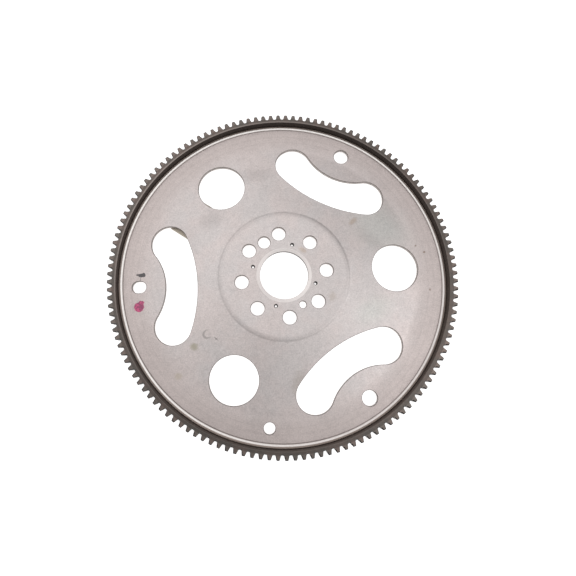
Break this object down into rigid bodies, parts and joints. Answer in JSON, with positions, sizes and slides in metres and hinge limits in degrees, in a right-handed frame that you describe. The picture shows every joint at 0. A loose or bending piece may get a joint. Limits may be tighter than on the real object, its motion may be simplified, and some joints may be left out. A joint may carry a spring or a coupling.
{
  "type": "flexplate",
  "caption": "Stamped steel flexplate with a welded starter ring gear, crankshaft and converter bolt holes, slots and a balance weight.",
  "frame": {"origin": "on the shaft axis, in the plane of the flange end that the part lies on", "axes": "+Z along the shaft axis towards the engine side, which is the side with the raised hub; +X at the teeth's zero angle, to the right in the picture"},
  "size_m": [0.2894, 0.2894, 0.012],
  "materials": {
    "plate_steel": "satin cold rolled steel sheet",
    "gear_steel": "dark hardened steel",
    "weight_steel": "plain steel strip",
    "weld_steel": "dark weld metal"
  },
  "bodies": {
    "root": {"plate": "plate_steel", "ring_gear": "gear_steel", "balance_weight": "weight_steel", "ring_weld_01": "weld_steel", "ring_weld_02": "weld_steel", "ring_weld_03": "weld_steel", "ring_weld_04": "weld_steel", "ring_weld_05": "weld_steel", "ring_weld_06": "weld_steel", "ring_weld_07": "weld_steel", "ring_weld_08": "weld_steel"}
  },
  "joints": []
}
